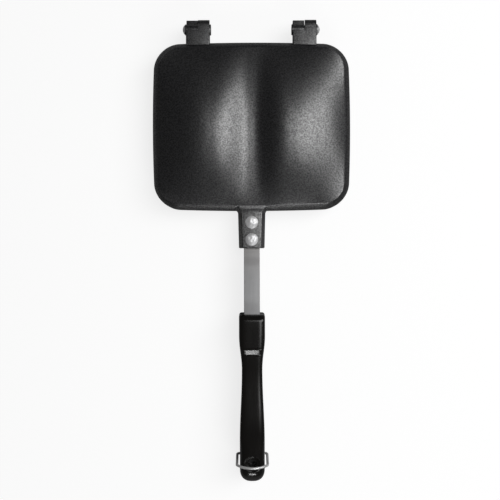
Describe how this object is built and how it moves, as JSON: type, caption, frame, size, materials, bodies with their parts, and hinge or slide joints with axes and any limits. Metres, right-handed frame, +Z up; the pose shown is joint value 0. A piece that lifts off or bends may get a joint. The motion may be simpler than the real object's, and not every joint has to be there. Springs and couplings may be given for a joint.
{
  "type": "double pie iron",
  "caption": "Hinged two-plate iron for toasting filled sandwiches over a flame, with long handles that a wire bail locks together.",
  "frame": {"origin": "middle of the closed iron's length and width, on the surface that its lower plate lies on", "axes": "+Y towards the hinge, -Y towards the grips, +X across the plates, +Z up, square to the plates"},
  "size_m": [0.155, 0.363, 0.041],
  "materials": {
    "cast_coated": "cast, with a black sand-textured non-stick coat",
    "strap_steel": "matt rolled steel",
    "grip_resin": "glossy moulded phenolic resin",
    "rivet_metal": "bright, slightly dimpled",
    "wire_steel": "bright drawn wire"
  },
  "bodies": {
    "lower_iron": {"lower_shell": "cast_coated", "lower_strap": "strap_steel", "lower_grip": "grip_resin", "lower_rivet_front": "rivet_metal", "lower_rivet_rear": "rivet_metal", "hinge_pin_left": "rivet_metal"},
    "upper_iron": {"upper_shell": "cast_coated", "upper_strap": "strap_steel", "upper_grip": "grip_resin", "upper_rivet_front": "rivet_metal", "upper_rivet_rear": "rivet_metal", "hinge_pin_right": "rivet_metal"},
    "bail": {"locking_bail": "wire_steel"}
  },
  "joints": [
    {"name": "iron_open", "type": "hinge", "parent": "lower_iron", "child": "upper_iron", "pos_m": [0, 0.17395, 0.02048], "axis": [-1, 0, 0], "range_deg": [0, 100]},
    {"name": "bail_swing", "type": "hinge", "parent": "lower_iron", "child": "bail", "pos_m": [0, -0.16225, 0.01348], "axis": [1, 0, 0], "range_deg": [0, 230]}
  ]
}
